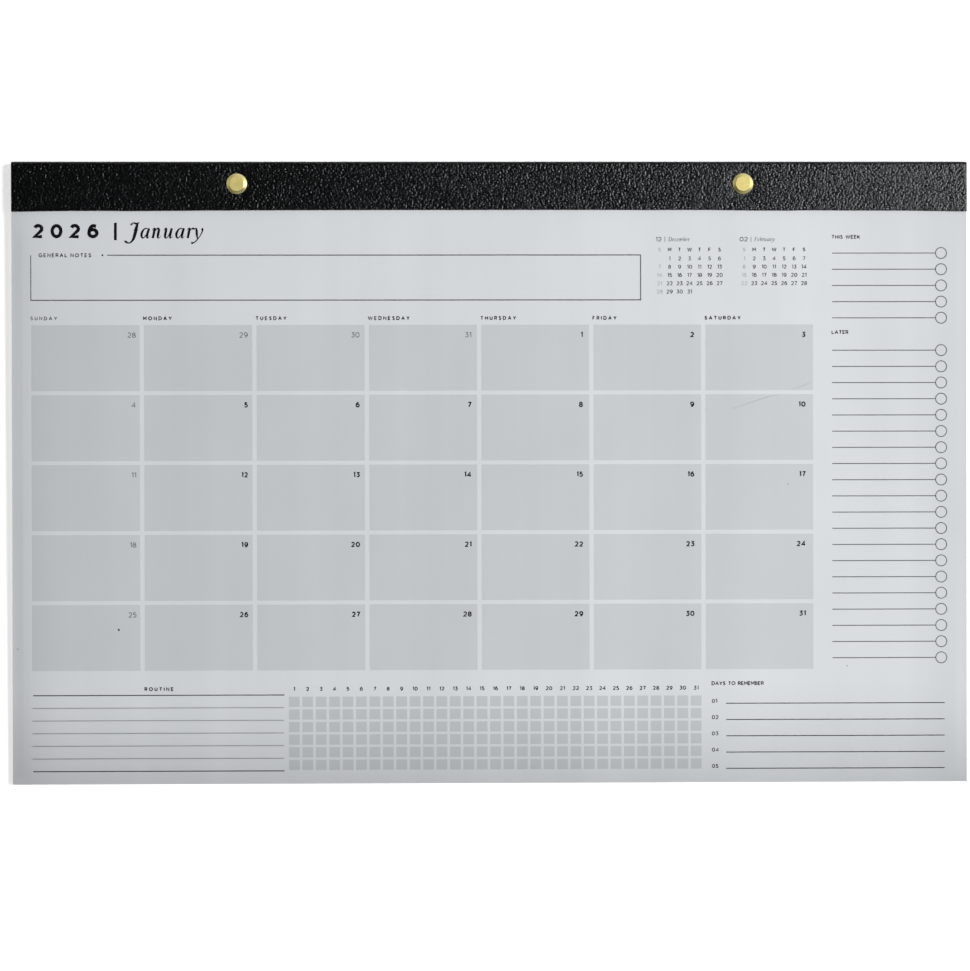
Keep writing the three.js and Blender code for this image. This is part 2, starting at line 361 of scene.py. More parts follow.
STEM = [(0, 0), (0, 1)]
SIX = [bowl(0.34, 0.32, 0.34, 0.32), smooth_path([(0, 0.36), (0.09, 0.73), (0.33, 0.98), (0.6, 0.93)])]
SIGNS = {
    "A": [[(0, 0), (0.45, 1), (0.9, 0)], [(0.16, 0.31), (0.74, 0.31)]],
    "B": [
        [(0, 0.53), (0, 1), *bowl(0.34, 0.765, 0.25, 0.235, 90, -90, 8), (0, 0.53)],
        [(0, 0), (0, 0.53), *bowl(0.38, 0.265, 0.29, 0.265, 90, -90, 8), (0, 0)],
    ],
    "D": [[(0, 0), (0, 1), *bowl(0.34, 0.5, 0.46, 0.5, 90, -90, 12), (0, 0)]],
    "E": [[(0.58, 1), (0, 1), (0, 0), (0.58, 0)], [(0, 0.52), (0.52, 0.52)]],
    "F": [[(0.56, 1), (0, 1), (0, 0)], [(0, 0.48), (0.5, 0.48)]],
    "G": [[*bowl(0.5, 0.5, 0.5, 0.5, 46, 322), (0.92, 0.45), (0.56, 0.45)]],
    "H": [STEM, [(0.74, 0), (0.74, 1)], [(0, 0.5), (0.74, 0.5)]],
    "I": [STEM],
    "K": [STEM, [(0.68, 1), (0, 0.34)], [(0.26, 0.6), (0.72, 0)]],
    "L": [[(0, 1), (0, 0), (0.55, 0)]],
    "M": [[(0, 0), (0, 1), (0.45, 0.35), (0.9, 1), (0.9, 0)]],
    "N": [[(0, 0), (0, 1), (0.76, 0), (0.76, 1)]],
    "O": [bowl(0.52, 0.5, 0.52, 0.5)],
    "R": [
        [(0, 0), (0, 1), *bowl(0.36, 0.73, 0.28, 0.27, 90, -90, 8), (0, 0.46)],
        [(0.38, 0.46), (0.66, 0)],
    ],
    "S": [smooth_path([
        (0.6, 0.88), (0.32, 1), (0.05, 0.77), (0.31, 0.53), (0.62, 0.27), (0.33, 0), (0, 0.14),
    ], 4)],
    "T": [[(0, 1), (0.74, 1)], [(0.37, 1), (0.37, 0)]],
    "U": [[(0, 1), *bowl(0.36, 0.37, 0.36, 0.37, 180, 360, 10), (0.72, 1)]],
    "W": [[(0, 1), (0.31, 0), (0.62, 0.96), (0.93, 0), (1.24, 1)]],
    "Y": [[(0, 1), (0.4, 0.42), (0.8, 1)], [(0.4, 0.42), (0.4, 0)]],
    "0": [bowl(0.37, 0.5, 0.37, 0.5)],
    "1": [[(0, 0.9), (0.25, 1), (0.25, 0)]],
    "2": [[*bowl(0.31, 0.7, 0.3, 0.3, 160, -35, 12), (0.02, 0), (0.64, 0)]],
    "3": [[(0.04, 1), (0.56, 1), (0.27, 0.61), *bowl(0.27, 0.305, 0.33, 0.305, 80, -145, 12)]],
    "4": [[(0.56, 0), (0.56, 1), (0, 0.27), (0.78, 0.27)]],
    "5": [[(0.56, 1), (0.12, 1), (0.07, 0.57), *bowl(0.27, 0.31, 0.33, 0.31, 110, -145, 12)]],
    "6": SIX,
    "7": [[(0, 1), (0.6, 1), (0.2, 0)]],
    "8": [bowl(0.33, 0.755, 0.27, 0.245), bowl(0.33, 0.265, 0.33, 0.265)],
    "9": [[(0.68 - x, 1 - y) for x, y in stroke] for stroke in SIX],
}


SPACE = 0.55  # between two words, of the letters' height


def word(ink, text, x, middle, pen_size, align="left", widen=1.0):
    """Upright letters side by side, in page millimetres: middle is the line's half height.

    pen_size is the letters' height, the width of their strokes and the gap between them."""
    height, stroke, gap = pen_size
    rise = height - stroke
    pen = 0
    placed = []
    for letter in text:
        if letter == " ":
            pen += SPACE * height
            continue
        strokes = SIGNS[letter]
        placed.append((pen + stroke / 2, strokes))
        pen += max(px for path in strokes for px, _ in path) * rise * widen + stroke + gap
    width = pen - gap
    start = {"left": x, "centre": x - width / 2, "right": x - width}[align]
    foot = middle + rise / 2
    for offset, strokes in placed:
        for path in strokes:
            ink.ribbon([(start + offset + px * rise * widen, foot - py * rise) for px, py in path], stroke)


# Slanted pen letters: how far each moves the pen on, and its strokes as x, y and the pen's width, in
# millimetres over the baseline at the size of the page's title

ENTRY = [(0.05, 3.5, 0.1), (0.6, 4.35, 0.22), (1.15, 4.35, 0.5)]
DOWN = [*ENTRY, (0.95, 3.2, 0.64), (0.3, 0.05, 0.6)]
PEN_LETTERS = {
    "D": (6.8, [
        [(2.2, 6.7, 0.6), (1.5, 3.3, 0.7), (0.9, 0.15, 0.6)],
        [(0.6, 6.7, 0.2), (2.6, 6.85, 0.3), (5.0, 6.2, 0.5), (5.9, 4.4, 0.75), (5.2, 2.0, 0.7),
         (3.2, 0.3, 0.4), (0.3, 0.1, 0.25)],
    ]),
    "F": (5.4, [
        [(2.3, 6.6, 0.6), (1.6, 3.3, 0.7), (0.9, 0.1, 0.6)],
        [(1.0, 6.7, 0.25), (3.6, 6.75, 0.3), (5.6, 6.7, 0.4)],
        [(1.6, 3.6, 0.2), (4.2, 3.7, 0.3)],
    ]),
    "J": (7.0, [
        [(2.9, 5.9, 0.75), (3.0, 6.5, 0.35), (3.7, 6.95, 0.3), (4.8, 6.65, 0.5), (5.8, 6.75, 0.35),
         (6.5, 7.2, 0.15)],
        [(5.6, 6.6, 0.5), (5.1, 4.6, 0.8), (4.4, 1.8, 0.85), (3.6, -0.6, 0.6), (2.3, -1.95, 0.35),
         (1.1, -2.05, 0.35), (0.35, -1.5, 0.7), (0.45, -1.1, 0.6)],
        [(3.7, 3.6, 0.15), (4.7, 3.85, 0.28), (5.8, 3.8, 0.15)],
    ]),
    "a": (5.2, [
        [(3.3, 4.1, 0.25), (2.5, 4.5, 0.28), (1.4, 3.9, 0.42), (0.5, 2.3, 0.62), (0.45, 0.8, 0.55),
         (1.1, 0.1, 0.32), (2.1, 1.0, 0.2), (3.0, 2.9, 0.18), (3.35, 4.15, 0.2)],
        [(3.85, 4.5, 0.5), (3.3, 2.9, 0.62), (2.85, 1.0, 0.6), (2.95, 0.15, 0.35), (3.5, 0.35, 0.15),
         (4.0, 1.05, 0.1)],
    ]),
    "b": (4.2, [
        [(1.9, 7.0, 0.5), (1.2, 3.6, 0.6), (0.6, 1.0, 0.55), (1.1, 0.15, 0.4), (2.3, 0.7, 0.4),
         (3.2, 2.6, 0.6), (2.9, 4.2, 0.45), (2.0, 4.2, 0.25), (0.95, 2.4, 0.2)],
    ]),
    "c": (3.9, [
        [(3.0, 3.7, 0.5), (2.5, 4.45, 0.35), (1.3, 3.9, 0.45), (0.5, 2.1, 0.62), (0.8, 0.4, 0.5),
         (1.8, 0.15, 0.3), (2.9, 1.0, 0.15)],
    ]),
    "e": (3.9, [
        [(0.5, 2.0, 0.2), (2.2, 2.9, 0.25), (2.9, 3.9, 0.4), (2.2, 4.5, 0.35), (1.0, 3.6, 0.5),
         (0.4, 1.8, 0.62), (0.8, 0.3, 0.5), (1.8, 0.2, 0.3), (2.8, 1.1, 0.15)],
    ]),
    "m": (6.6, [
        DOWN,
        [(0.65, 1.7, 0.15), (1.6, 3.7, 0.22), (2.5, 4.5, 0.42), (2.9, 3.8, 0.62), (2.3, 0.05, 0.6)],
        [(2.7, 1.9, 0.15), (3.6, 3.8, 0.22), (4.5, 4.5, 0.42), (4.9, 3.8, 0.62), (4.45, 1.6, 0.6),
         (4.5, 0.3, 0.4), (5.2, 0.7, 0.13)],
    ]),
    "n": (5.2, [
        DOWN,
        [(0.65, 1.7, 0.15), (1.6, 3.7, 0.22), (2.6, 4.5, 0.42), (3.05, 3.8, 0.62), (2.65, 1.8, 0.64),
         (2.5, 0.5, 0.5), (2.85, 0.1, 0.3), (3.5, 0.5, 0.13), (3.95, 1.1, 0.1)],
    ]),
    "r": (3.0, [
        DOWN,
        [(0.65, 1.8, 0.15), (1.5, 3.6, 0.2), (2.3, 4.4, 0.35), (2.85, 4.25, 0.7), (3.0, 4.0, 0.6)],
    ]),
    "u": (5.3, [
        [*ENTRY, (0.95, 3.0, 0.64), (0.55, 1.1, 0.62), (0.8, 0.15, 0.42), (1.6, 0.4, 0.2),
         (2.5, 2.0, 0.18), (3.2, 4.0, 0.2)],
        [(3.6, 4.5, 0.55), (3.15, 2.6, 0.64), (2.8, 0.9, 0.58), (3.0, 0.12, 0.32), (3.6, 0.45, 0.13),
         (4.1, 1.1, 0.1)],
    ]),
    "y": (4.4, [
        [(0.1, 3.6, 0.1), (0.6, 4.35, 0.22), (1.2, 4.2, 0.5), (1.35, 2.6, 0.62), (1.5, 0.9, 0.5),
         (1.75, -0.3, 0.25)],
        [(3.6, 4.35, 0.62), (4.0, 3.9, 0.5), (3.6, 2.4, 0.28), (2.4, 0.4, 0.25), (0.9, -1.4, 0.28),
         (-0.4, -2.15, 0.4), (-1.1, -2.0, 0.75)],
    ]),
}


def pen_word(ink, text, x, baseline, scale, swell):
    """Slanted letters from x on. swell widens the pen beyond the letters' own scale."""
    for letter in text:
        advance, strokes = PEN_LETTERS[letter]
        for stroke in strokes:
            path = [(x + scale * px, baseline - scale * py, scale * pen * swell)
                    for px, py, pen in smooth_path(stroke)]
            ink.ribbon(path)
        x += scale * advance


# Places on the page, in millimetres from its upper left corner. A PEN is the letters' height, the width
# of their strokes and the gap between them.

BASELINE = 34.75
FIGURE_STARTS = (("2", 9.75), ("0", 17.65), ("2", 26.2), ("6", 34.2))
FIGURE_HEIGHT = 6.5
FIGURE_PEN = (FIGURE_HEIGHT, 1.52, 0)
FIGURE_WIDEN = 1.05
MONTH_START, MONTH_SWELL = 51.2, 1.7
TITLE_BAR = (46.85, 27.7, 35.6, 1.25)  # its middle, top, foot and width

FRAME_TOP, FRAME_BOTTOM = 42.4, 62.7
FRAME_LEFT, FRAME_RIGHT = 8.75, 283.85
FRAME_OPENS, FRAME_RESUMES = 12.3, 43.1  # its top line leaves room for a label
FRAME_DOT, FRAME_DOT_RADIUS = 41.0, 0.45
RULE, FRAME_RULE = 0.42, 0.52

DAY_LEFT, DAY_TOP = 8.9, 73.9
DAY_STEP_X, DAY_STEP_Y = 50.72, 31.56
DAY_WIDE, DAY_HIGH = 48.75, 29.75
WEEKDAYS = ("SUNDAY", "MONDAY", "TUESDAY", "WEDNESDAY", "THURSDAY", "FRIDAY", "SATURDAY")
WEEKDAY_OVERHANG, WEEKDAY_MIDDLE = 0.45, 70.85
WEEKS = 5
FIRST_COLUMN = 4  # the month's first day is in this column
LAST_OF_MONTH_BEFORE = 31
NUMBER_INSET, NUMBER_DRIFT = 1.75, 0.28  # from a field's right edge, and how much more in each column
NUMBER_DROP = 4.5
NUMBER_PEN = (2.45, 0.56, 0.3)
LIGHT_NUMBER_PEN = (2.45, 0.38, 0.3)

LIST_LEFT, LIST_RIGHT = 370.6, 417.5
LIST_TOP, LIST_STEP, LIST_LINES, LIST_PAUSE = 41.62, 7.33, 26, 5
RING_X, RING_RADIUS = 420.1, 2.7

SQUARE_LEFT, SQUARE_TOP = 124.55, 241.8
SQUARE_STEP_X, SQUARE_STEP_Y, SQUARE_WIDE, SQUARE_HIGH = 6.06, 5.7, 4.85, 4.62
TRACKER_DAYS, TRACKER_ROWS = 31, 6
TRACKER_LEFT, TRACKER_RIGHT = 9.3, 122.5
TRACKER_FIRST, TRACKER_LAST, TRACKER_RULE = 241.0, 275.3, 0.46
TRACKER_NUMBERS = 238.3
TRACKER_PEN = (1.8, 0.36, 0.25)
DOT_STEP, DOT_RADIUS, DOT_SIDES = 0.93, 0.27, 6

DATE_LEFT, DATE_RIGHT, DATE_TOP, DATE_STEP, DATE_LINES = 322.4, 421.6, 245.38, 7.375, 5
DATE_NUMBERS, DATE_NUMBER_RISE = 315.9, 1.1
DATE_PEN = (1.8, 0.32, 0.3)

# Labels of the sections: the words, their left end and half height, and the pen's width and gap
LABEL_HEIGHT = 1.78
WEEKDAY_PEN = (LABEL_HEIGHT, 0.4, 0.68)
LABELS = (
    ("GENERAL NOTES", FRAME_OPENS, FRAME_TOP, 0.34, 0.55),
    ("THIS WEEK", LIST_LEFT - 0.2, 34.3, 0.36, 0.24),
    ("LATER", LIST_LEFT - 0.2, 77.4, 0.36, 0.24),
    ("ROUTINE", 59.4, 238.2, 0.42, 0.68),
    ("DAYS TO REMEMBER", 315.8, 236.3, 0.36, 0.14),
)

# The months before and after: middle of the first column, bar, number, name, first day's column and days
SMALL_MONTHS = (
    (292.5, 294.9, "12", "December", 1, 31),
    (330.8, 333.9, "02", "February", 0, 28),
)
SMALL_STEP_X, SMALL_STEP_Y = 4.52, 3.74
SMALL_INITIALS, SMALL_FIRST_WEEK = 40.0, 44.0
SMALL_INITIAL_PEN = (1.75, 0.33, 0)
SMALL_DAY_PEN = (1.8, 0.29, 0.22)
SMALL_LABEL = 35.3
SMALL_LABEL_PEN = (2.0, 0.27, 0.35)
SMALL_LABEL_WIDEN = 1.15
SMALL_BAR_TOP, SMALL_BAR_FOOT, SMALL_BAR_WIDE, SMALL_BAR_CLEAR = 34.1, 36.5, 0.24, 1.5
SMALL_NAME_BASELINE, SMALL_NAME_SCALE, SMALL_NAME_SWELL = 36.2, 0.27, 1.5


def print_title(dark):
    middle = BASELINE - FIGURE_HEIGHT / 2
    for figure, start in FIGURE_STARTS:
        word(dark, figure, start, middle, FIGURE_PEN, widen=FIGURE_WIDEN)
    dark.down(*TITLE_BAR)
    pen_word(dark, "January", MONTH_START, BASELINE, scale=1, swell=MONTH_SWELL)


def print_labels(dark):
    for text, left, middle, stroke, gap in LABELS:
        word(dark, text, left, middle, (LABEL_HEIGHT, stroke, gap))


def print_frame(lines, dark):
    half = FRAME_RULE / 2
    lines.across(FRAME_RESUMES, FRAME_RIGHT - half, FRAME_TOP, FRAME_RULE)
    lines.across(FRAME_LEFT - RULE / 2, FRAME_RIGHT + half, FRAME_BOTTOM, FRAME_RULE)
    lines.down(FRAME_LEFT, FRAME_TOP, FRAME_BOTTOM - half, RULE)
    lines.down(FRAME_RIGHT, FRAME_TOP - half, FRAME_BOTTOM - half, FRAME_RULE)
    dark.dot(FRAME_DOT, FRAME_TOP, FRAME_DOT_RADIUS)


def print_days(fields, dark, grey):
    for column, name in enumerate(WEEKDAYS):
        ink = grey if column == 0 else dark
        left = DAY_LEFT + column * DAY_STEP_X
        word(ink, name, left - WEEKDAY_OVERHANG, WEEKDAY_MIDDLE, WEEKDAY_PEN)
        for row in range(WEEKS):
            top = DAY_TOP + row * DAY_STEP_Y
            fields.box(left, top, left + DAY_WIDE, top + DAY_HIGH)
            print_day_number(dark, grey, row, column, left + DAY_WIDE, top)


def print_day_number(dark, grey, row, column, right, top):
    """The number in a field's upper right corner, in grey on the first column and before the first day."""
    day = row * len(WEEKDAYS) + column - FIRST_COLUMN + 1
    before = day < 1
    number = LAST_OF_MONTH_BEFORE + day if before else day
    light = before or column == 0
    ink = grey if light else dark
    pen = LIGHT_NUMBER_PEN if light else NUMBER_PEN
    inset = NUMBER_INSET + NUMBER_DRIFT * column
    word(ink, str(number), right - inset, top + NUMBER_DROP, pen, "right")


def print_small_month(dark, grey, faint, left, bar, label, name, first_column, days):
    word(dark, label, bar - SMALL_BAR_CLEAR, SMALL_LABEL, SMALL_LABEL_PEN, "right", SMALL_LABEL_WIDEN)
    grey.down(bar, SMALL_BAR_TOP, SMALL_BAR_FOOT, SMALL_BAR_WIDE)
    pen_word(grey, name, bar + SMALL_BAR_CLEAR, SMALL_NAME_BASELINE, SMALL_NAME_SCALE, SMALL_NAME_SWELL)
    for column, weekday in enumerate(WEEKDAYS):
        ink = faint if column == 0 else dark
        word(ink, weekday[0], left + column * SMALL_STEP_X, SMALL_INITIALS, SMALL_INITIAL_PEN, "centre")
    for day in range(1, days + 1):
        row, column = divmod(first_column + day - 1, len(WEEKDAYS))
        ink = faint if column == 0 else dark
        x = left + column * SMALL_STEP_X
        y = SMALL_FIRST_WEEK + row * SMALL_STEP_Y
        word(ink, str(day), x, y, SMALL_DAY_PEN, "centre")


def print_list(lines):
    for line in range(LIST_LINES):
        if line == LIST_PAUSE:
            continue
        y = LIST_TOP + line * LIST_STEP
        lines.across(LIST_LEFT, LIST_RIGHT, y, RULE)
        lines.ring(RING_X, y, RING_RADIUS, RULE)


def print_tracker(squares, dark, rules):
    for y in (TRACKER_FIRST, TRACKER_LAST):
        rules.across(TRACKER_LEFT, TRACKER_RIGHT, y, TRACKER_RULE)
    between = (TRACKER_LAST - TRACKER_FIRST) / TRACKER_ROWS
    for row in range(1, TRACKER_ROWS):
        for x in np.arange(TRACKER_LEFT, TRACKER_RIGHT, DOT_STEP):
            dark.dot(x, TRACKER_FIRST + row * between, DOT_RADIUS, DOT_SIDES)
    for day in range(TRACKER_DAYS):
        left = SQUARE_LEFT + day * SQUARE_STEP_X
        word(dark, str(day + 1), left + SQUARE_WIDE / 2, TRACKER_NUMBERS, TRACKER_PEN, "centre")
        for row in range(TRACKER_ROWS):
            top = SQUARE_TOP + row * SQUARE_STEP_Y
            squares.box(left, top, left + SQUARE_WIDE, top + SQUARE_HIGH)


def print_dates(rules, dark):
    for line in range(DATE_LINES):
        y = DATE_TOP + line * DATE_STEP
        rules.across(DATE_LEFT, DATE_RIGHT, y, RULE)
        word(dark, f"0{line + 1}", DATE_NUMBERS, y - DATE_NUMBER_RISE, DATE_PEN)


# Small marks of handling as x, y and radius, and the painted shade of creases as strokes of x, y and width

SPECK = (47.9, 211.4, 0.47)
SMUDGES = ((350.5, 146.2, 0.45), (2.4, 220.0, 0.4), (377.3, 228.5, 0.38))
SPECK_SIDES, SMUDGE_SIDES = 14, 12
CREASE_SHADES = (
    [(325.4, 112.0, 0.2), (334.0, 109.0, 0.35), (341.6, 106.6, 0.35), (346.6, 105.7, 0.15)],
    [(352.0, 103.4, 0.15), (357.0, 101.7, 0.3), (361.5, 99.8, 0.15)],
)


def print_marks(dark, faint):
    dark.dot(*SPECK, SPECK_SIDES)
    for smudge in SMUDGES:
        faint.dot(*smudge, SMUDGE_SIDES)
    # Painted shade: a grey stroke where the sheet is creased.
    for crease in CREASE_SHADES:
        faint.ribbon(smooth_path(crease))


# Header: one strip, folded over the sheets' head

GRAIN_PITCH = 0.45 * MM
GRAIN_HEIGHT, GRAIN_CELL = 0.02 * MM, 1.35 * MM
SWELL_HEIGHT, SWELL_CELL = 0.03 * MM, 9 * MM  # slow unevenness under the grain
THICKNESS = 0.9 * MM
FOLD_RADIUS = 1.6 * MM
EDGE_RADIUS = 0.35 * MM
BACK_INSET = 0.7 * MM  # of the back flap's edge, from the end of the CAD's
INNER_STEP = 3 * MM  # from the fold to the next point inside it
DIMPLE_DEPTH, DIMPLE_RADIUS, DIMPLE_FADE = 0.16 * MM, 4.6 * MM, 4 * MM  # pressed in by the posts' heads
END_THIN, END_FADE = 0.12 * MM, 0.7 * MM  # the strip is thinner at its cut ends
PULLED, PULLED_START, PULLED_FADE = 0.8, 3.5 * MM, 2 * MM  # how much of the grain the fold pulls smooth
FRONT_START, FRONT_FADE = 12 * MM, 10 * MM  # from the head, where the front flap's edge starts to bow
FRONT_BOW = 0.7 * MM
FRONT_WANDER, WANDER_CELL = 0.12 * MM, 31 * MM

NOISE_TABLE = 256
PEBBLE_WARP, WARP_CELL_X, WARP_CELL_Y = 0.35, 1.7, 1.9  # in cells
PEBBLE_SPOTS = (0.08, 0.92)  # a pebble's middle lies between these shares of its cell
PEBBLE_RISE, PEBBLE_ROUND = 1.6, 0.6  # how steeply it rises from its border, and the power that rounds it
FAR = 9.0  # in cells, further than any pebble


def value_noise(x, y, cell, seed):
    """Smooth noise between -1 and 1 over a plane, the same each run."""
    u, v = x / cell, y / cell
    i, j = np.floor(u).astype(int), np.floor(v).astype(int)
    s, t = soft_step(u - i), soft_step(v - j)
    table = np.random.default_rng(seed).uniform(-1, 1, (NOISE_TABLE, NOISE_TABLE))

    def at(a, b):
        return table[a % NOISE_TABLE, b % NOISE_TABLE]

    low = at(i, j) * (1 - s) + at(i + 1, j) * s
    high = at(i, j + 1) * (1 - s) + at(i + 1, j + 1) * s
    return low * (1 - t) + high * t


def pebble_height(x, y, cell, seed):
    """Rounded pebbles with creases between them: high in a cell's middle and 0 at its border."""
    x = x + PEBBLE_WARP * cell * value_noise(x, y, WARP_CELL_X * cell, seed + 1)
    y = y + PEBBLE_WARP * cell * value_noise(x, y, WARP_CELL_Y * cell, seed + 2)
    u, v = x / cell, y / cell
    i, j = np.floor(u).astype(int), np.floor(v).astype(int)
    table = np.random.default_rng(seed).uniform(*PEBBLE_SPOTS, (NOISE_TABLE, NOISE_TABLE, 2))
    nearest = np.full(u.shape, FAR)
    second = np.full(u.shape, FAR)
    for di in (-1, 0, 1):
        for dj in (-1, 0, 1):
            spot = table[(i + di) % NOISE_TABLE, (j + dj) % NOISE_TABLE]
            away = np.hypot(i + di + spot[..., 0] - u, j + dj + spot[..., 1] - v)
            second = np.minimum(second, np.maximum(nearest, away))
            nearest = np.minimum(nearest, away)
    return np.clip((second - nearest) * PEBBLE_RISE, 0, 1) ** PEBBLE_ROUND


def header_section():
    """Outline across the header as (y, z, kind), closed, in order.

    kind is 1 on the outer face, which carries the grain, and 0 inside the fold."""
    outer_low, outer_high = COVER_LOW.z, COVER_HIGH.z
    inner_low, inner_high = outer_low + THICKNESS, outer_high - THICKNESS
    bend = HEAD - FOLD_RADIUS
    inner_radius = FOLD_RADIUS - THICKNESS
    inner_bend = HEAD - THICKNESS - inner_radius
    inner_flat = bend - INNER_STEP
    front = HEAD - HEADER_REACH
    back = COVER_LOW.y + BACK_INSET
    outline = []

    def turn(cy, cz, radius, start, end, steps, kind):
        for angle in np.radians(np.linspace(start, end, steps + 1)):
            outline.append((cy + radius * math.cos(angle), cz + radius * math.sin(angle), kind))

    turn(front + EDGE_RADIUS, outer_high - EDGE_RADIUS, EDGE_RADIUS, 180, 90, 4, 1)
    for y in steps_between(front + EDGE_RADIUS, bend, GRAIN_PITCH)[1:-1]:
        outline.append((y, outer_high, 1))
    turn(bend, outer_high - FOLD_RADIUS, FOLD_RADIUS, 90, 0, 6, 1)
    for z in steps_between(outer_high - FOLD_RADIUS, outer_low + FOLD_RADIUS, GRAIN_PITCH)[1:-1]:
        outline.append((HEAD, z, 1))
    turn(bend, outer_low + FOLD_RADIUS, FOLD_RADIUS, 0, -90, 6, 1)
    for y in steps_between(bend, back + EDGE_RADIUS, 5 * GRAIN_PITCH)[1:-1]:
        outline.append((y, outer_low, 1))
    turn(back + EDGE_RADIUS, outer_low + EDGE_RADIUS, EDGE_RADIUS, -90, -180, 4, 1)
    outline.append((back, inner_low, 0))
    outline.append((inner_flat, inner_low, 0))
    turn(inner_bend, inner_low + inner_radius, inner_radius, -90, 0, 4, 0)
    turn(inner_bend, inner_high - inner_radius, inner_radius, 0, 90, 4, 0)
    outline.append((inner_flat, inner_high, 0))
    outline.append((front, inner_high, 0))
    return outline


def header_relief(x, along, ys):
    """How far the outer face stands over its section, at each place along it."""
    grain = GRAIN_HEIGHT * pebble_height(x, along, GRAIN_CELL, seed=5)
    grain = grain + SWELL_HEIGHT * value_noise(x, along, SWELL_CELL, seed=8)
    dimple = DIMPLE_DEPTH * (1 - soft_step((from_posts(x, ys) - DIMPLE_RADIUS) / DIMPLE_FADE))
    side = np.minimum(x - LEFT, RIGHT - x)
    thin = END_THIN * (1 - soft_step(side / END_FADE))
    fold = soft_step((ys - HEAD + PULLED_START) / PULLED_FADE)
    return (grain - GRAIN_HEIGHT) * (1 - PULLED * fold) - dimple - thin


def front_edge(xs, ys, zs):
    """How far each place moves towards the head, so that the front flap's edge isn't straight."""
    bow = FRONT_BOW * (1 - (xs / RIGHT) ** 2)
    wander = FRONT_WANDER * value_noise(xs, 0 * xs, WANDER_CELL, seed=12)
    upper = zs > (COVER_HIGH.z + COVER_LOW.z) / 2
    near_front = soft_step((HEAD - FRONT_START - ys) / FRONT_FADE) * upper
    return (bow + wander)[:, None] * near_front


def end_caps(section, columns):
    """Triangles that close the strip's two ends, facing out."""
    count = len(section)
    outline = [Vector((0, y, z)) for y, z, _ in section]
    faces = []
    for column, is_right in ((0, False), (columns - 1, True)):
        for triangle in geometry.tessellate_polygon([outline]):
            corners = [column * count + i for i in triangle]
            a, b, c = (section[i] for i in triangle)
            area = (b[0] - a[0]) * (c[1] - a[1]) - (b[1] - a[1]) * (c[0] - a[0])
            if (area > 0) != is_right:
                corners.reverse()
            faces.append(corners)
    return faces


def make_header(material):
    section = header_section()
    count = len(section)
    ys, zs, outside = np.array(section, float).T
    ahead = np.stack([np.roll(ys, -1) - np.roll(ys, 1), np.roll(zs, -1) - np.roll(zs, 1)], -1)
    ahead /= np.linalg.norm(ahead, axis=1)[:, None]
    normal = np.stack([-ahead[:, 1], ahead[:, 0]], -1)
    along = np.cumsum(np.hypot(np.diff(ys, append=ys[0]), np.diff(zs, append=zs[0])))
    xs = steps_between(LEFT, RIGHT, GRAIN_PITCH)
    x, along = np.meshgrid(xs, along, indexing="ij")
    out = header_relief(x, along, ys) * outside
    y = ys + out * normal[:, 0] + front_edge(xs, ys, zs)
    z = zs + out * normal[:, 1]
    vertices = np.stack([x, y, z], -1).reshape(-1, 3)
    faces = []
    for i in range(len(xs) - 1):
        for j in range(count):
            k = (j + 1) % count
            faces.append([i * count + j, i * count + k, (i + 1) * count + k, (i + 1) * count + j])
    faces += end_caps(section, len(xs))
    return new_object("leatherette_header", vertices, faces, material, smooth=True)


# Posts

LATHE_SIDES = 96
HEAD_RADIUS, HEAD_FLAT, HEAD_RIM = 4.7 * MM, 3.35 * MM, 0.35 * MM
CHAMFER = math.radians(35)  # from level
HEAD_EASE_IN, HEAD_EASE_UP = 0.1 * MM, 0.08 * MM  # at the head's lower edge
HEAD_SINK = 0.08 * MM  # into the leather
RIM_STEPS = 7
CHAMFER_RINGS = (0.14 * MM, 0.03 * MM)  # outside the flat's edge, and inside it, to keep it crisp
FLAT_RINGS = (0.04 * MM, 0.2 * MM)
SLEEVE_RADIUS, BORE_RADIUS = 2.5 * MM, 2.1 * MM
BORE_END = 0.5 * MM  # below the header's top


def turned(name, profile, x, material):
    """A closed turned solid about an upright axis. profile is (radius, z) from axis to axis."""
    vertices = []
    rings = []
    for radius, z in profile:
        if radius == 0:
            rings.append([len(vertices)] * LATHE_SIDES)
            vertices.append((x, POST_Y, z))
        else:
            rings.append(list(range(len(vertices), len(vertices) + LATHE_SIDES)))
            vertices += [(px, py, z) for px, py in circle(x, POST_Y, radius, LATHE_SIDES)]
    faces = []
    for lower, upper in zip(rings, rings[1:]):
        for i in range(LATHE_SIDES):
            j = (i + 1) % LATHE_SIDES
            corners = [lower[i], lower[j], upper[j], upper[i]]
            face = [c for n, c in enumerate(corners) if c not in corners[:n]]
            if len(face) > 2:
                faces.append(face)
    return new_object(name, vertices, faces, material, smooth=True)


def head_curve(seat, tip):
    """A post head's upright edge, chamfer and flat, from its seat up, as (radius, z)."""
    rim = HEAD_RIM
    crest = HEAD_RADIUS - rim + rim * math.sin(CHAMFER)
    middle = tip - rim * math.cos(CHAMFER) - (crest - HEAD_FLAT) * math.tan(CHAMFER)
    points = [(HEAD_RADIUS - HEAD_EASE_IN, seat), (HEAD_RADIUS, seat + HEAD_EASE_UP)]
    for angle in np.linspace(0, math.pi / 2 - CHAMFER, RIM_STEPS):
        points.append((HEAD_RADIUS - rim + rim * math.cos(angle), middle + rim * math.sin(angle)))
    for step in CHAMFER_RINGS:
        points.append((HEAD_FLAT + step, tip - step * math.tan(CHAMFER)))
    for step in FLAT_RINGS:
        points.append((HEAD_FLAT - step, tip))
    return [*points, (0, tip)]


def make_posts(material):
    seat = COVER_HIGH.z - HEAD_SINK
    bore_top = COVER_HIGH.z - BORE_END
    profile = [
        (0, bore_top),
        (BORE_RADIUS, bore_top),
        (BORE_RADIUS, BARREL_LOW.z),
        (SLEEVE_RADIUS, BARREL_LOW.z),
        (SLEEVE_RADIUS, seat),
        *head_curve(seat, BARREL_HIGH.z),
    ]
    for side, x in (("left", POST_X), ("right", -POST_X)):
        barrel = turned(f"brass_post_{side}", profile, x, material)
        settle(barrel, f"post_barrel_{side}")


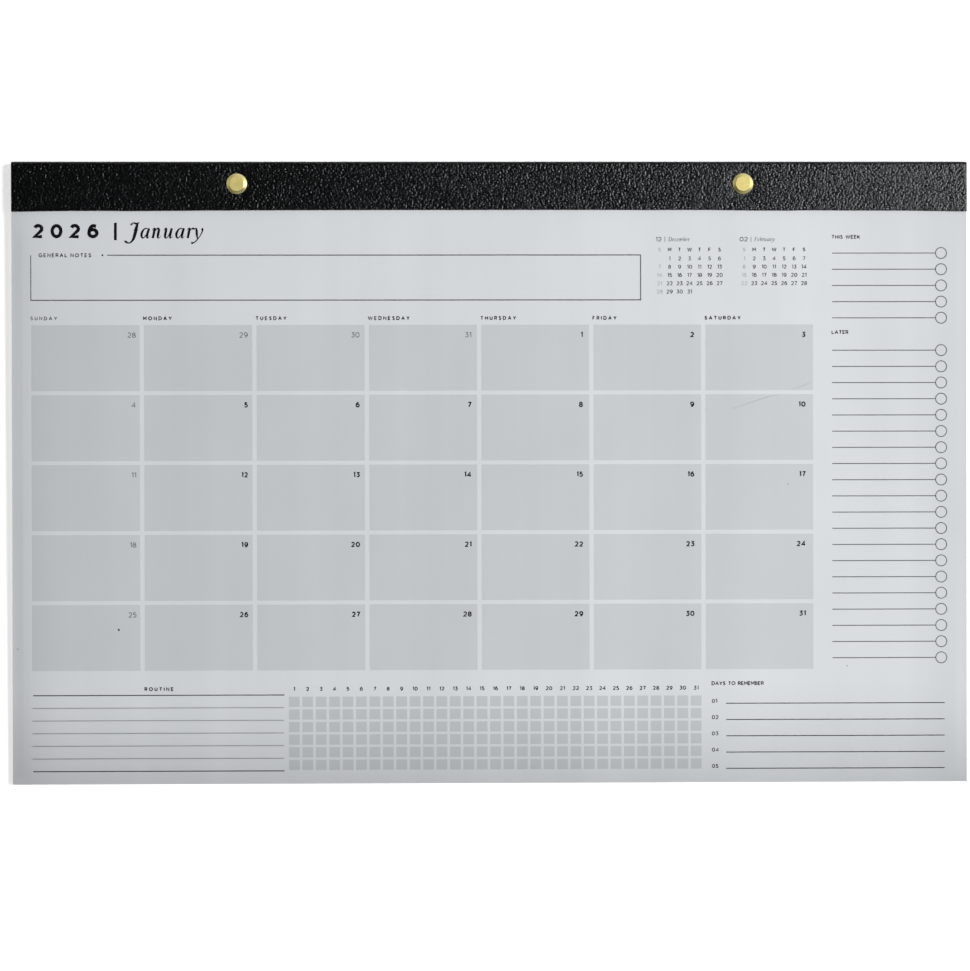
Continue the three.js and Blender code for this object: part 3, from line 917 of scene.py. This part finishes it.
BOARD_EASE = 0.14 * MM


def make_board(material):
    """The chipboard, cut to size and punched, with its edges a little crushed."""
    plan = Prisms()
    points, faces = leaf_plan(BOARD_LOW.x, BOARD_HIGH.x, BOARD_LOW.y, BOARD_HIGH.y, COARSE_PITCH)
    plan.add(
        points,
        faces,
        top=lambda x, y: np.full_like(x, BOARD_HIGH.z),
        bottom=lambda x, y: np.full_like(x, BOARD_LOW.z),
    )
    board = plan.object("chipboard_back", material)
    eased = board.modifiers.new("eased_edges", "BEVEL")
    eased.width = BOARD_EASE
    eased.segments = 2
    eased.limit_method = "ANGLE"
    settle(board, "backing_board")


# Materials

def material_of(name):
    material = bpy.data.materials.new(name)
    material.use_nodes = True
    tree = material.node_tree
    shader = tree.nodes["Principled BSDF"]
    return material, tree, shader


def node(tree, kind, **values):
    made = tree.nodes.new(kind)
    for key, value in values.items():
        if key in made.inputs:
            made.inputs[key].default_value = value
        else:
            setattr(made, key, value)
    return made


def coordinates(tree):
    return node(tree, "ShaderNodeTexCoord").outputs["Object"]


def noise(tree, scale, detail=3.0, roughness=0.5, stretch=None):
    made = node(tree, "ShaderNodeTexNoise", Scale=scale, Detail=detail, Roughness=roughness)
    source = coordinates(tree)
    if stretch:
        mapping = node(tree, "ShaderNodeMapping", Scale=stretch)
        tree.links.new(source, mapping.inputs["Vector"])
        source = mapping.outputs["Vector"]
    tree.links.new(source, made.inputs["Vector"])
    return made.outputs["Fac"]


def ranged(tree, source, low, high, to_low, to_high):
    made = node(tree, "ShaderNodeMapRange")
    made.inputs["From Min"].default_value = low
    made.inputs["From Max"].default_value = high
    made.inputs["To Min"].default_value = to_low
    made.inputs["To Max"].default_value = to_high
    tree.links.new(source, made.inputs["Value"])
    return made.outputs["Result"]


def maths(tree, operation, a, b):
    made = node(tree, "ShaderNodeMath", operation=operation)
    for socket, value in zip(made.inputs, (a, b)):
        if isinstance(value, (int, float)):
            socket.default_value = value
        else:
            tree.links.new(value, socket)
    return made.outputs["Value"]


def scaled_colour(tree, colour, factor):
    """A plain colour times a changing grey."""
    made = node(tree, "ShaderNodeVectorMath", operation="SCALE")
    made.inputs[0].default_value = colour
    tree.links.new(factor, made.inputs["Scale"])
    return made.outputs["Vector"]


def bump(tree, shader, height, distance, strength=1.0):
    made = node(tree, "ShaderNodeBump", Distance=distance, Strength=strength)
    tree.links.new(height, made.inputs["Height"])
    tree.links.new(made.outputs["Normal"], shader.inputs["Normal"])


PAPER = (0.617, 0.638, 0.657)

# Painted shade along the sheet's edges, where less light reaches: how much darker the sheet is at an edge,
# how far in that reaches, and the power of its falling off
LEFT_PAINTED_SHADE = (0.14, 52 * MM, 3.0)
RIGHT_PAINTED_SHADE = (0.12, 75 * MM, 1.2)
FOOT_PAINTED_SHADE = (0.25, 46 * MM, 1.3)


def edge_shade(tree, place, edge, inward, shade, reach, power):
    """1 in the sheet and darker by painted shade at one of its edges. inward is 1 or -1."""
    near = ranged(tree, place, edge, edge + inward * reach, 1.0, 0.0)
    darker = maths(tree, "MULTIPLY", maths(tree, "POWER", near, power), shade)
    return maths(tree, "SUBTRACT", 1.0, darker)


def paper_tone(tree):
    """Paper's own changes of tone, slow mottling and long faint streaks, times painted shade in strips at
    its edges.
    """
    place = node(tree, "ShaderNodeSeparateXYZ")
    tree.links.new(coordinates(tree), place.inputs["Vector"])
    across, up = place.outputs["X"], place.outputs["Y"]
    mottle = ranged(tree, noise(tree, 22, 4), 0.3, 0.7, 0.985, 1.015)
    streak = ranged(tree, noise(tree, 1, 3, 0.6, (30, 0.9, 1)), 0.35, 0.65, 0.975, 1.02)
    tone = maths(tree, "MULTIPLY", mottle, streak)
    painted_shades = (
        edge_shade(tree, across, LEFT, 1, *LEFT_PAINTED_SHADE),
        edge_shade(tree, across, RIGHT, -1, *RIGHT_PAINTED_SHADE),
        edge_shade(tree, up, FOOT, 1, *FOOT_PAINTED_SHADE),
    )
    # The painted edge shade darkens the tone towards the left, right and foot edges.
    for shade in painted_shades:
        tone = maths(tree, "MULTIPLY", tone, shade)
    return tone


def printed(name, colour):
    """Paper or ink on it, with the paper's fibres in its surface."""
    material, tree, shader = material_of(name)
    # The base colour carries the painted edge shade, on paper and ink alike.
    tree.links.new(scaled_colour(tree, colour, paper_tone(tree)), shader.inputs["Base Color"])
    shader.inputs["Roughness"].default_value = 0.8
    shader.inputs["Specular IOR Level"].default_value = 0.12
    fibres = maths(tree, "ADD", noise(tree, 2600, 4, 0.6), noise(tree, 700, 2))
    bump(tree, shader, fibres, 0.00002, 0.5)
    return material


PEBBLES_PER_METRE = 1120.0
PEBBLE_DOME = 0.000225  # a pebble's height falls by this much times the square of its share of a cell
PEBBLE_SHIFT = 0.0003  # most that the pebbles are warped out of place
FINE_SHARE = 0.04  # of the fine noise, beside the pebbles
LEATHER = (0.0012, 0.0013, 0.0014)
LEATHER_SHEEN = (0.93, 0.965, 1.0, 1)


def leatherette():
    material, tree, shader = material_of("leatherette_black")
    tone = ranged(tree, noise(tree, 90, 3), 0.3, 0.7, 0.8, 1.25)
    tree.links.new(scaled_colour(tree, LEATHER, tone), shader.inputs["Base Color"])
    warp = node(tree, "ShaderNodeTexNoise", Scale=600.0, Detail=2.0)
    tree.links.new(coordinates(tree), warp.inputs["Vector"])
    shift = node(tree, "ShaderNodeVectorMath", operation="SCALE")
    tree.links.new(warp.outputs["Color"], shift.inputs[0])
    shift.inputs["Scale"].default_value = PEBBLE_SHIFT
    warped = node(tree, "ShaderNodeVectorMath", operation="ADD")
    tree.links.new(coordinates(tree), warped.inputs[0])
    tree.links.new(shift.outputs["Vector"], warped.inputs[1])
    cells = node(tree, "ShaderNodeTexVoronoi", Scale=PEBBLES_PER_METRE, Randomness=0.9)
    tree.links.new(warped.outputs["Vector"], cells.inputs["Vector"])
    dome = maths(tree, "MULTIPLY", maths(tree, "POWER", cells.outputs["Distance"], 2.0), -1.0)
    fine = maths(tree, "MULTIPLY", noise(tree, 3200, 2), FINE_SHARE)
    bump(tree, shader, maths(tree, "ADD", dome, fine), PEBBLE_DOME)
    rough = ranged(tree, noise(tree, 500, 3), 0.3, 0.7, 0.24, 0.29)
    tree.links.new(rough, shader.inputs["Roughness"])
    shader.inputs["Specular IOR Level"].default_value = 0.43
    shader.inputs["Specular Tint"].default_value = LEATHER_SHEEN
    return material


BRASS = (0.72, 0.64, 0.275)
BRIGHT, BRUSHED = 0.22, 0.7  # roughness of the turned edges and of the head's flat


def brass():
    material, tree, shader = material_of("brass_bright")
    tone = ranged(tree, noise(tree, 420, 4), 0.3, 0.7, 0.93, 1.05)
    tree.links.new(scaled_colour(tree, BRASS, tone), shader.inputs["Base Color"])
    shader.inputs["Metallic"].default_value = 1.0
    place = node(tree, "ShaderNodeSeparateXYZ")
    tree.links.new(coordinates(tree), place.inputs["Vector"])
    below, near = BARREL_HIGH.z - 0.03 * MM, BARREL_HIGH.z - 0.01 * MM
    flat = ranged(tree, place.outputs["Z"], below, near, BRIGHT, BRUSHED)
    rough = maths(tree, "ADD", flat, ranged(tree, noise(tree, 1500, 3), 0.3, 0.7, 0.0, 0.1))
    tree.links.new(rough, shader.inputs["Roughness"])
    bump(tree, shader, noise(tree, 2200, 3, 0.6), 0.000012, 0.4)
    return material


CHIPBOARD = (0.40, 0.355, 0.30)


def chipboard():
    material, tree, shader = material_of("chipboard_grey")
    pulp = ranged(tree, noise(tree, 240, 5, 0.65), 0.3, 0.7, 0.86, 1.12)
    flecks = node(tree, "ShaderNodeTexVoronoi", Scale=420.0)
    tree.links.new(coordinates(tree), flecks.inputs["Vector"])
    dark = ranged(tree, flecks.outputs["Distance"], 0.04, 0.16, 0.72, 1.0)
    tone = maths(tree, "MULTIPLY", pulp, dark)
    tree.links.new(scaled_colour(tree, CHIPBOARD, tone), shader.inputs["Base Color"])
    shader.inputs["Roughness"].default_value = 0.92
    bump(tree, shader, noise(tree, 900, 4, 0.6), 0.00006, 0.6)
    return material


FLOOR = (0.93, 0.93, 0.93)
FLOOR_GLOW = 0.62


def floor_white():
    material, tree, shader = material_of("floor_white")
    tone = ranged(tree, noise(tree, 3, 2), 0.3, 0.7, 0.995, 1.0)
    tree.links.new(scaled_colour(tree, FLOOR, tone), shader.inputs["Base Color"])
    shader.inputs["Roughness"].default_value = 1.0
    shader.inputs["Specular IOR Level"].default_value = 0.0
    shader.inputs["Emission Color"].default_value = (1, 1, 1, 1)
    shader.inputs["Emission Strength"].default_value = FLOOR_GLOW
    return material


# Build


def settle(obj, replaced):
    """Rides a piece on the one body, in the place of a CAD node."""
    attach(obj, BODY)
    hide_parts(replaced)


def build_pad():
    sheets = make_leaves(printed("paper_cool_white", PAPER))
    settle(sheets, "sheet_pad")
    fields, squares, lines, rules = (Ink() for _ in range(4))
    title, dark, grey, faint = (Ink(coats=2) for _ in range(4))
    print_title(title)
    print_labels(dark)
    print_frame(lines, dark)
    print_days(fields, dark, grey)
    for month in SMALL_MONTHS:
        print_small_month(dark, grey, faint, *month)
    print_list(lines)
    print_tracker(squares, dark, rules)
    print_dates(rules, dark)
    print_marks(dark, faint)
    inks = (
        ("print_day_fields", fields, (0.513, 0.535, 0.554)),
        ("print_squares", squares, (0.485, 0.508, 0.527)),
        ("print_title", title, (0.004, 0.004, 0.005)),
        ("print_dark", dark, (0.011, 0.012, 0.014)),
        ("print_grey", grey, (0.17, 0.178, 0.185)),
        # the faint ink also carries the creases' painted shade
        ("print_faint_and_crease_shade", faint, (0.4, 0.416, 0.43)),
        ("print_lines", lines, (0.12, 0.125, 0.13)),
        ("print_rules", rules, (0.045, 0.048, 0.051)),
    )
    for name, ink, colour in inks:
        obj = ink.object(name, printed("ink_" + name, colour))
        settle(obj, "sheet_pad")


def build_rest():
    header = make_header(leatherette())
    settle(header, "header_cover")
    metal = brass()
    make_posts(metal)
    for side in ("left", "right"):
        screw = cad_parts[f"post_screw_{side}"]
        screw.data.materials.clear()
        screw.data.materials.append(metal)
    make_board(chipboard())


# Stage: a floor that the screws' lower edges and the board's foot rest on

FLOOR_REACH = 15.0


def make_floor():
    contact = Vector((0, BOARD_LOW.y, BOARD_LOW.z))
    screws = Vector((0, SCREW_LOW.y, SCREW_LOW.z))
    tilt = math.atan2(contact.z - screws.z, screws.y - contact.y)
    corners = [(-1, -1), (1, -1), (1, 1), (-1, 1)]
    vertices = [(x * FLOOR_REACH, y * FLOOR_REACH, 0) for x, y in corners]
    floor = new_object("floor", vertices, [(0, 1, 2, 3)], floor_white())
    floor.matrix_world = Matrix.Translation(screws) @ Matrix.Rotation(-tilt, 4, "X")


KEY_PLACE = (2.05, 0.25, 2.13)
KEY_SIZE = (1.27, 1.47)
KEY_POWER = 117


def make_key_light():
    """One soft light from the right, aimed at the middle of the pad."""
    data = bpy.data.lights.new("key_right", "AREA")
    data.shape = "RECTANGLE"
    data.size, data.size_y = KEY_SIZE
    data.energy = KEY_POWER
    light = bpy.data.objects.new("key_right", data)
    bpy.context.scene.collection.objects.link(light)
    light.location = KEY_PLACE
    light.rotation_euler = (-Vector(KEY_PLACE)).to_track_quat("-Z", "Y").to_euler()


def make_world():
    """A sky that is bright near the horizon and nearly black overhead."""
    world = bpy.data.worlds.new("studio")
    world.use_nodes = True
    bpy.context.scene.world = world
    tree = world.node_tree
    background = tree.nodes["Background"]
    place = node(tree, "ShaderNodeTexCoord").outputs["Generated"]
    split = node(tree, "ShaderNodeSeparateXYZ")
    tree.links.new(place, split.inputs["Vector"])
    glow = ranged(tree, split.outputs["Z"], 0.4, 0.54, 1.6, 0.004)
    reader = ranged(tree, split.outputs["Y"], -0.45, 0.1, 0.35, 1.0)
    head = ranged(tree, split.outputs["Y"], 0.3, 0.8, 1.0, 0.6)
    left = ranged(tree, split.outputs["X"], -0.6, 0.1, 0.45, 1.0)
    for side in (reader, head, left):  # most of the low light comes from the right
        glow = maths(tree, "MULTIPLY", glow, side)
    tree.links.new(glow, background.inputs["Strength"])
    background.inputs["Color"].default_value = (1, 1, 1, 1)


CAMERA_PLACE = (-0.02141, 0.00136, 1.2235)
CAMERA_TURN = (-0.3419, -0.8856, -0.106)  # degrees about X, Y and Z
CAMERA_LENS = 100
SENSOR = 36


def make_camera():
    data = bpy.data.cameras.new("camera")
    data.lens = CAMERA_LENS
    data.sensor_width = SENSOR
    data.sensor_fit = "HORIZONTAL"
    camera = bpy.data.objects.new("camera", data)
    bpy.context.scene.collection.objects.link(camera)
    camera.location = CAMERA_PLACE
    camera.rotation_euler = [math.radians(angle) for angle in CAMERA_TURN]
    bpy.context.scene.camera = camera


build_pad()
build_rest()
make_floor()
make_world()
make_camera()
make_key_light()
bpy.context.scene.view_settings.view_transform = "Standard"
